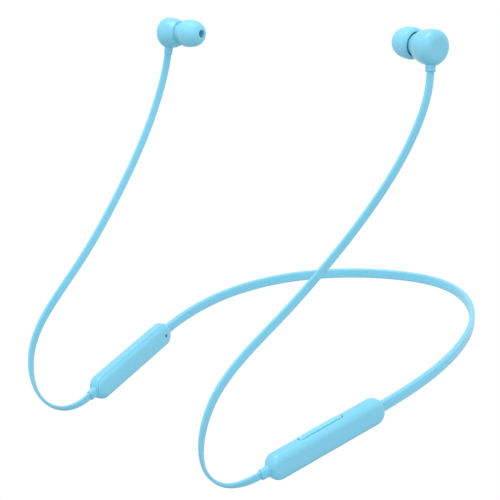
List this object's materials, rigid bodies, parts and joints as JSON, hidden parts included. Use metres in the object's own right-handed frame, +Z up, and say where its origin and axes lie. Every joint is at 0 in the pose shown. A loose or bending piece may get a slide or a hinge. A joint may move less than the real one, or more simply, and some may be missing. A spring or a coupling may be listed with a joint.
{
  "type": "neckband earphones",
  "caption": "Flexible neckband with a pill-shaped module at each end, flat ear cables, swivelling magnetic earbuds, soft tips, a volume rocker and push buttons.",
  "frame": {"origin": "on the band's centreline at the middle of the nape, where the neck holds it", "axes": "+X to the wearer's left, +Y to the wearer's back, +Z up; worn pose"},
  "size_m": [0.1564, 0.21, 0.1673],
  "materials": {
    "shell_plastic": "satin",
    "band_silicone": "soft touch",
    "cable_jacket": "satin",
    "tip_silicone": "matte",
    "strain_relief": "satin",
    "memory_wire": "drawn",
    "anchor_nylon": "moulded",
    "circuit_board": "solder mask",
    "battery": "foil",
    "magnet": "nickel plated",
    "black_plastic": "moulded",
    "steel": "satin",
    "light_guide": "smoked moulded"
  },
  "bodies": {
    "nape": {"nape_band": "band_silicone", "nape_memory_wire": "memory_wire"},
    "left_arm": {"left_arm_band": "band_silicone", "left_memory_wire": "memory_wire", "left_band_anchor": "anchor_nylon", "left_outer_shell": "shell_plastic", "left_inner_cover": "shell_plastic", "left_circuit_board": "circuit_board", "left_battery": "battery", "left_cable_gland": "strain_relief", "left_ear_cable": "cable_jacket", "rocker_pivot": "steel", "volume_up_switch": "black_plastic", "volume_down_switch": "black_plastic", "multifunction_switch": "black_plastic", "microphone": "steel", "usb_c_receptacle": "steel"},
    "right_arm": {"right_arm_band": "band_silicone", "right_memory_wire": "memory_wire", "right_band_anchor": "anchor_nylon", "right_outer_shell": "shell_plastic", "right_inner_cover": "shell_plastic", "right_circuit_board": "circuit_board", "right_battery": "battery", "right_cable_gland": "strain_relief", "right_ear_cable": "cable_jacket", "power_switch": "black_plastic", "status_light_guide": "light_guide"},
    "volume_rocker": {"volume_rocker": "shell_plastic"},
    "multifunction_button": {"multifunction_button": "shell_plastic"},
    "power_button": {"power_button": "shell_plastic"},
    "left_bud": {"left_rear_housing": "shell_plastic", "left_front_housing": "shell_plastic", "left_driver": "black_plastic", "left_bud_magnet": "magnet", "left_nozzle_mesh": "steel", "left_stem": "strain_relief"},
    "left_tip": {"left_ear_tip": "tip_silicone"},
    "right_bud": {"right_rear_housing": "shell_plastic", "right_front_housing": "shell_plastic", "right_driver": "black_plastic", "right_bud_magnet": "magnet", "right_nozzle_mesh": "steel", "right_stem": "strain_relief"},
    "right_tip": {"right_ear_tip": "tip_silicone"}
  },
  "joints": [
    {"name": "left_arm_flex", "type": "hinge", "parent": "nape", "child": "left_arm", "pos_m": [0.04913, -0.03453, -0.00049], "axis": [0, 0, 1], "range_deg": [-12, 35], "stiffness_Nm_per_rad": 0.04},
    {"name": "right_arm_flex", "type": "hinge", "parent": "nape", "child": "right_arm", "pos_m": [-0.05053, -0.03261, -0.00053], "axis": [0, 0, -1], "range_deg": [-12, 35], "stiffness_Nm_per_rad": 0.04},
    {"name": "volume_rock", "type": "hinge", "parent": "left_arm", "child": "volume_rocker", "pos_m": [0.05921, -0.14956, -0.01892], "axis": [0.9788, -0.2049, 0], "range_deg": [-2.5, 2.5], "stiffness_Nm_per_rad": 0.02},
    {"name": "multifunction_press", "type": "slide", "parent": "left_arm", "child": "multifunction_button", "axis": [0.9788, -0.2049, 0], "range_m": [0, 0.0003], "stiffness_N_per_m": 400},
    {"name": "power_press", "type": "slide", "parent": "right_arm", "child": "power_button", "axis": [0.9738, 0.2035, 0.1017], "range_m": [0, 0.00035], "stiffness_N_per_m": 400},
    {"name": "left_bud_swivel", "type": "hinge", "parent": "left_arm", "child": "left_bud", "pos_m": [0.0747, -0.1087, 0.1187], "axis": [-0.1316, 0.1754, 0.9757], "range_deg": [-60, 60]},
    {"name": "left_tip_pull", "type": "slide", "parent": "left_bud", "child": "left_tip", "axis": [-0.9799, 0.187, 0.069], "range_m": [0, 0.007]},
    {"name": "right_bud_swivel", "type": "hinge", "parent": "right_arm", "child": "right_bud", "pos_m": [-0.0735, -0.108, 0.1154], "axis": [0.072, 0.1439, 0.987], "range_deg": [-60, 60]},
    {"name": "right_tip_pull", "type": "slide", "parent": "right_bud", "child": "right_tip", "axis": [0.9958, 0.088, 0.024], "range_m": [0, 0.007]}
  ]
}
